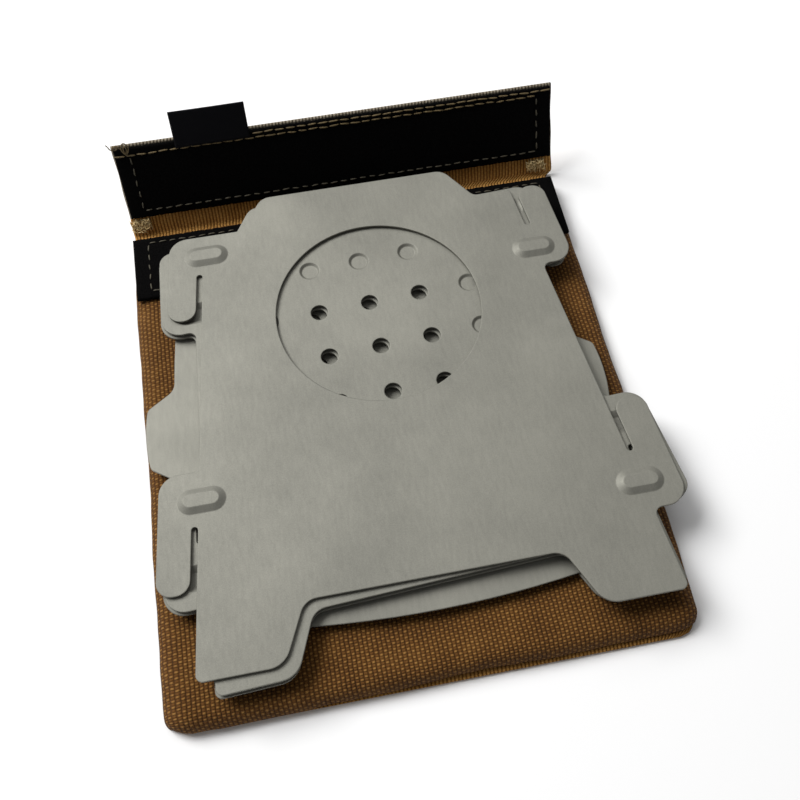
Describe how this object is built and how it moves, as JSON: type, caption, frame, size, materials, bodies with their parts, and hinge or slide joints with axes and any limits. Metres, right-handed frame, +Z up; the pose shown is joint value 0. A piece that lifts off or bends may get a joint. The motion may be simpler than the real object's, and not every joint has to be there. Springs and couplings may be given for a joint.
{
  "type": "flat-pack wood stove",
  "caption": "Flat-pack camping stove of hooked titanium side panels and a base plate, lying stacked on an open canvas sleeve with a hook-and-loop flap.",
  "frame": {"origin": "on the ground, under the middle of the sleeve's pocket", "axes": "+X to the right as the front panel is seen, +Y from the panels' feet towards the sleeve's flap, +Z up off the ground"},
  "size_m": [0.164, 0.1984, 0.0402],
  "materials": {
    "titanium": "matt warm-grey titanium sheet",
    "canvas": "coarse golden-brown canvas",
    "hook_and_loop": "black hook-and-loop strip",
    "thread": "golden sewing thread",
    "tag_ribbon": "black woven tag, bare"
  },
  "bodies": {
    "sleeve": {"sleeve_front": "canvas", "sleeve_back": "canvas", "bottom_seam": "canvas", "left_side_seam": "canvas", "right_side_seam": "canvas", "pocket_strip": "hook_and_loop", "pocket_strip_stitching": "thread"},
    "flap": {"flap_canvas": "canvas", "flap_strip": "hook_and_loop", "flap_strip_stitching": "thread", "flap_top_stitching": "thread", "woven_tag": "tag_ribbon", "left_bar_tack": "thread", "right_bar_tack": "thread"},
    "back_sheet": {"back_panel": "titanium"},
    "plate": {"base_plate": "titanium"},
    "left_sheet": {"left_side_panel": "titanium"},
    "right_sheet": {"right_side_panel": "titanium"},
    "front_sheet": {"front_panel": "titanium"}
  },
  "joints": [
    {"name": "flap_fold", "type": "hinge", "parent": "sleeve", "child": "flap", "pos_m": [0, 0.0902, 0.00055], "axis": [1, 0, 0], "range_deg": [-60, 17]},
    {"name": "back_lift", "type": "slide", "parent": "sleeve", "child": "back_sheet", "axis": [0, 0, 1], "range_m": [0, 0.06]},
    {"name": "plate_lift", "type": "slide", "parent": "back_sheet", "child": "plate", "axis": [0, 0, 1], "range_m": [0, 0.06]},
    {"name": "left_lift", "type": "slide", "parent": "plate", "child": "left_sheet", "axis": [0, 0, 1], "range_m": [0, 0.06]},
    {"name": "right_lift", "type": "slide", "parent": "left_sheet", "child": "right_sheet", "axis": [0, 0, 1], "range_m": [0, 0.06]},
    {"name": "front_lift", "type": "slide", "parent": "right_sheet", "child": "front_sheet", "axis": [0, 0, 1], "range_m": [0, 0.06]}
  ]
}
